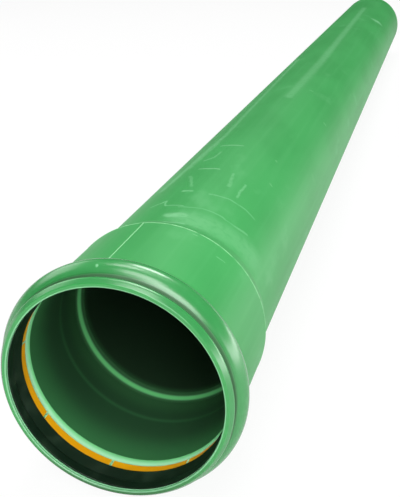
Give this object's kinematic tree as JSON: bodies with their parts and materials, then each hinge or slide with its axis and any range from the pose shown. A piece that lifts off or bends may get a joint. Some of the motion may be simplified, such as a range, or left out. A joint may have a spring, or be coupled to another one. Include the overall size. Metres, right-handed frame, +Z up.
{
  "type": "socketed cable duct pipe",
  "caption": "Straight round duct pipe with a push-fit socket on one end, a rubber lip seal in its bead and a slotted retaining ring.",
  "frame": {"origin": "on the axis of the pipe, in the plane where a pipe pushed into the socket stops", "axes": "+X along the axis towards the spigot end, so the socket mouth faces -X; +Z up as the pipe lies on the ground"},
  "size_m": [2.092, 0.1856, 0.1854],
  "materials": {
    "pipe": "green polypropylene, satin, lightly scuffed",
    "seal": "black moulded rubber",
    "retainer": "yellow-orange polypropylene"
  },
  "bodies": {
    "root": {"pipe": "pipe", "seal_ring": "seal", "retaining_ring": "retainer"}
  },
  "joints": []
}
